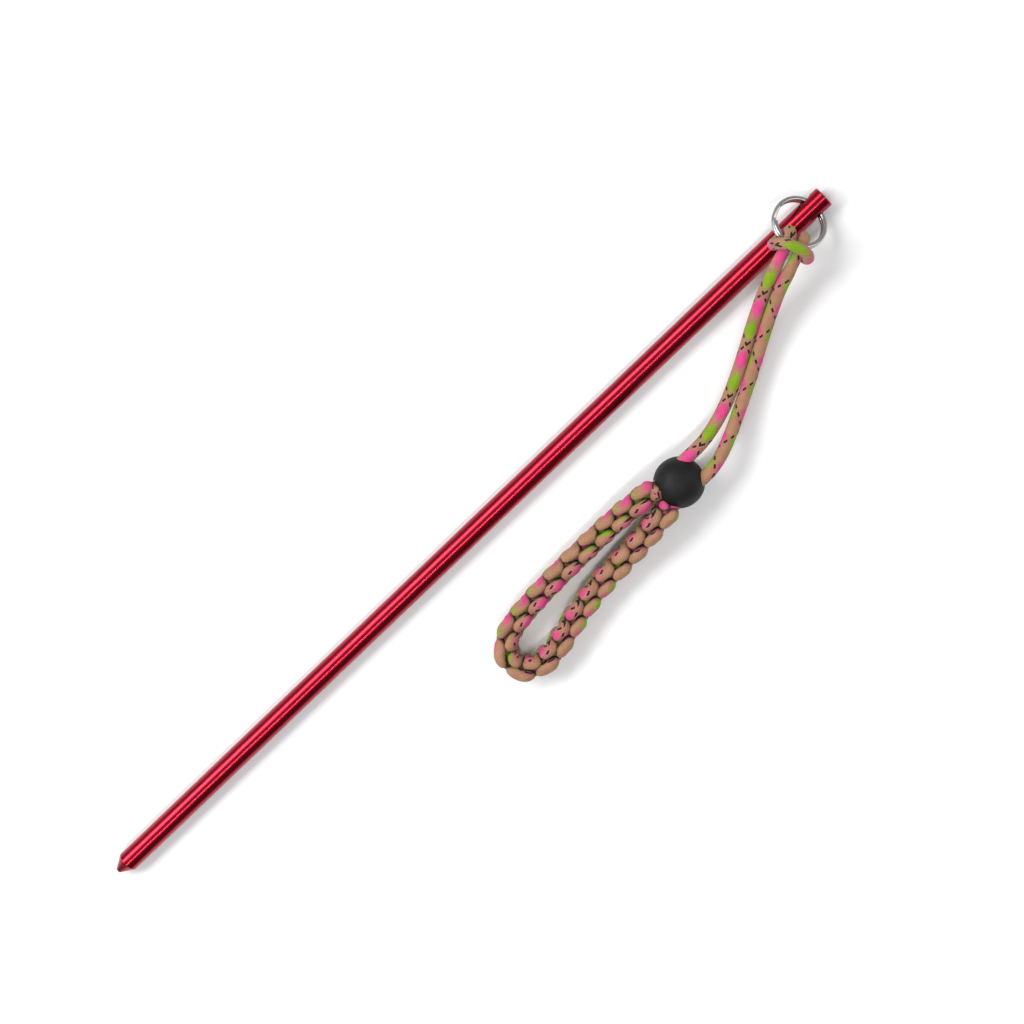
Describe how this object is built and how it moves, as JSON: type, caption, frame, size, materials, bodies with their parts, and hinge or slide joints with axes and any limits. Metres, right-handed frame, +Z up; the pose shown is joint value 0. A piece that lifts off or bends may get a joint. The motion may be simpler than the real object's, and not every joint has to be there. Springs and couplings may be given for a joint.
{
  "type": "wrist-lanyard pointer stick",
  "caption": "Slim anodised pointer rod with a blunt cone tip, a split ring through its butt, and a braided cord wrist lanyard with a ball cord stopper.",
  "frame": {"origin": "on the surface the stick lies on, under the middle of the rod", "axes": "+X along the rod from its pointed tip to its butt with the ring, +Z up from the surface, the lanyard lying on the -Y side"},
  "size_m": [0.36, 0.0655, 0.0239],
  "materials": {
    "rod": "red anodised, bright drawn",
    "ring": "plain steel wire",
    "cord": "braided nylon cord, tan with pink, lime and black",
    "weave": "braided nylon cord, tan with pink, lime and black",
    "ball": "moulded, matte black",
    "button": "moulded, matte black",
    "spring": "spring wire"
  },
  "bodies": {
    "rod": {"rod": "rod"},
    "ring": {"split_ring": "ring", "hitch": "cord"},
    "lanyard": {"strand_left": "cord", "strand_right": "cord", "loop_core": "cord", "loop_weave": "weave"},
    "stopper": {"stopper_ball": "ball", "stopper_spring": "spring"},
    "button": {"stopper_button": "button"}
  },
  "joints": [
    {"name": "ring_swing", "type": "hinge", "parent": "rod", "child": "ring", "pos_m": [0.1745, 0, 0.004], "axis": [-0.1045, 0.9945, 0], "range_deg": [0, 280]},
    {"name": "lanyard_swing", "type": "hinge", "parent": "ring", "child": "lanyard", "pos_m": [0.16075, -0.00461, 0.0141], "axis": [-0.3752, 0.9054, 0.1986], "range_deg": [0, 90], "deforming": ["strand_left", "strand_right"]},
    {"name": "stopper_slide", "type": "slide", "parent": "lanyard", "child": "stopper", "axis": [0.9613, 0.2756, 0], "range_m": [0, 0.04], "deforming": ["loop_core"]},
    {"name": "button_press", "type": "slide", "parent": "stopper", "child": "button", "axis": [1, 0, 0], "range_m": [0, 0.0024], "stiffness_N_per_m": 300, "springref_m": -0.004, "deforming": ["stopper_spring"]}
  ]
}
